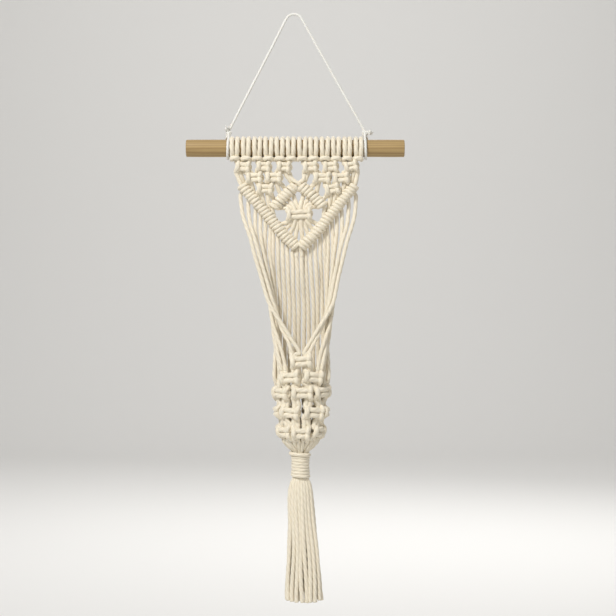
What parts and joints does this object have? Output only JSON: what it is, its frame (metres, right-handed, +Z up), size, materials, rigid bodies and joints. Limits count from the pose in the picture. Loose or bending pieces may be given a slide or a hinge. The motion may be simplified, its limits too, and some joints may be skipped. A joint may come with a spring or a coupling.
{
  "type": "macrame wall hanging with a net pocket",
  "caption": "Knotted cotton wall hanging on a wooden dowel: pointed macrame panel, long strands, a hanging net pocket, a wrapped neck and a tassel.",
  "frame": {"origin": "the hanging point: under the hanger cord where it rests on its hook", "axes": "+Z up, +X to the right along the dowel as seen from the front, -Y towards the room and +Y towards the wall"},
  "size_m": [0.218, 0.0372, 0.5891],
  "materials": {
    "cotton": "natural undyed cotton cord, matt",
    "hanger_cotton": "bleached cotton cord, matt",
    "wood": "bare sanded wood"
  },
  "bodies": {
    "hanger": {"hanger_cord": "hanger_cotton", "hanger_loop_left": "hanger_cotton", "hanger_loop_right": "hanger_cotton", "hanger_knot_left": "hanger_cotton", "hanger_knot_right": "hanger_cotton"},
    "dowel": {"dowel": "wood"},
    "panel": {"larks_head_01": "cotton", "larks_head_02": "cotton", "larks_head_03": "cotton", "larks_head_04": "cotton", "larks_head_05": "cotton", "larks_head_06": "cotton", "larks_head_07": "cotton", "larks_head_08": "cotton", "larks_head_09": "cotton", "larks_head_10": "cotton", "larks_head_11": "cotton", "larks_head_12": "cotton", "square_knot_01": "cotton", "square_knot_02": "cotton", "square_knot_03": "cotton", "square_knot_04": "cotton", "square_knot_05": "cotton", "square_knot_06": "cotton", "square_knot_07": "cotton", "square_knot_08": "cotton", "square_knot_09": "cotton", "square_knot_10": "cotton", "square_knot_11": "cotton", "square_knot_12": "cotton", "diamond_hitches": "cotton", "border_hitches_left": "cotton", "border_hitches_right": "cotton", "center_knot": "cotton", "fan_upper": "cotton", "fan_lower": "cotton"},
    "pocket": {"front_strands_left_1": "cotton", "front_strands_left_2": "cotton", "front_strands_left_3": "cotton", "front_strands_right_1": "cotton", "front_strands_right_2": "cotton", "front_strands_right_3": "cotton", "back_strands_left_1": "cotton", "back_strands_left_2": "cotton", "back_strands_left_3": "cotton", "back_strands_right_1": "cotton", "back_strands_right_2": "cotton", "back_strands_right_3": "cotton", "pocket_back_net": "cotton", "gathered_strands": "cotton", "wrap_cord": "cotton"},
    "pocket_front": {"pocket_front_net": "cotton"},
    "tassel": {"tassel_neck": "cotton", "tassel_skirt": "cotton"}
  },
  "joints": [
    {"name": "dowel_roll", "type": "hinge", "parent": "hanger", "child": "dowel", "pos_m": [0.0013, 0, -0.1328], "axis": [1, 0, 0], "continuous": true},
    {"name": "panel_swing", "type": "hinge", "parent": "hanger", "child": "panel", "pos_m": [0.0027, 0, -0.1328], "axis": [-1, 0, 0], "range_deg": [-3, 75]},
    {"name": "pocket_swing", "type": "hinge", "parent": "panel", "child": "pocket", "pos_m": [0.005, -0.003, -0.265], "axis": [-1, 0, 0], "range_deg": [-25, 45], "deforming": ["front_strands_left_1", "front_strands_left_2", "front_strands_left_3", "front_strands_right_1", "front_strands_right_2", "front_strands_right_3", "back_strands_left_1", "back_strands_left_2", "back_strands_left_3", "back_strands_right_1", "back_strands_right_2", "back_strands_right_3"]},
    {"name": "pocket_mouth", "type": "hinge", "parent": "pocket", "child": "pocket_front", "pos_m": [0.0075, -0.0125, -0.4213], "axis": [1, 0, 0], "range_deg": [0, 20], "stiffness_Nm_per_rad": 0.05},
    {"name": "tassel_sway", "type": "hinge", "parent": "pocket", "child": "tassel", "pos_m": [0.006, 0, -0.4635], "axis": [0, 1, 0], "range_deg": [-25, 25], "deforming": ["tassel_neck"]}
  ]
}
